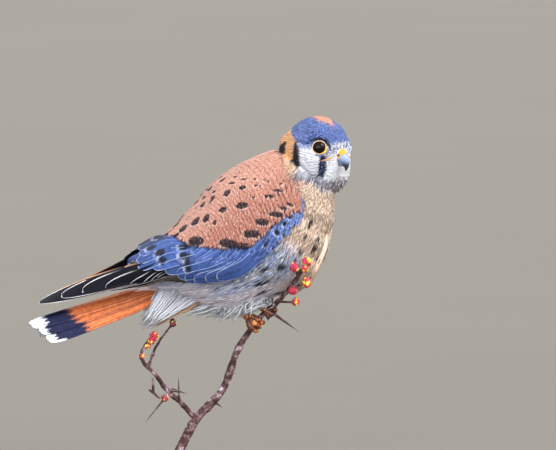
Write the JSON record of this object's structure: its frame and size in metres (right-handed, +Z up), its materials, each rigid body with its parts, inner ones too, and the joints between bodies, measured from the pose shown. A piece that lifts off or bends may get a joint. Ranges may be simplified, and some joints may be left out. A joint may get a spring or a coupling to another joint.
{
  "type": "american kestrel bird model",
  "caption": "Life-size still model of a small male falcon gripping a budding thorn twig, head turned back over its shoulder, on a round display stand.",
  "frame": {"origin": "centre of the underside of the stand's round base", "axes": "+Z up, the bird's body faces +X and its right side is towards -Y"},
  "size_m": [0.2052, 0.112, 0.2369],
  "materials": {
    "plumage_slate": "soft blue-grey feathers of the crown and wing coverts",
    "plumage_rufous": "rusty feathers of the mantle and tail with black marks",
    "plumage_buff": "soft buff and white feathers of the breast and belly",
    "bill_horn": "smooth blue-grey horn with a black tip",
    "bare_skin": "orange-yellow scaly skin of the cere, lids and toes",
    "claw_horn": "polished black horn",
    "eye_glass": "wet dark brown eye",
    "twig_bark": "dark purplish bark with knots, thorns and red buds",
    "stand_wood": "waxed dark wood",
    "stand_metal": "satin brass rod"
  },
  "bodies": {
    "root": {"head": "plumage_slate", "eye_right": "eye_glass", "eye_left": "eye_glass", "cere": "bare_skin", "bill_upper": "bill_horn", "bill_lower": "bill_horn", "neck": "plumage_buff", "torso": "plumage_buff", "wing_right": "plumage_slate", "wing_left": "plumage_slate", "tail": "plumage_rufous", "leg_right": "plumage_buff", "leg_left": "plumage_buff", "foot_right": "bare_skin", "foot_left": "bare_skin", "claw_right_1": "claw_horn", "claw_right_2": "claw_horn", "claw_right_3": "claw_horn", "claw_right_4": "claw_horn", "claw_left_1": "claw_horn", "claw_left_2": "claw_horn", "claw_left_3": "claw_horn", "claw_left_4": "claw_horn", "perch_twig": "twig_bark", "perch_side_twig": "twig_bark", "stand_rod": "stand_metal", "stand_base": "stand_wood"}
  },
  "joints": []
}
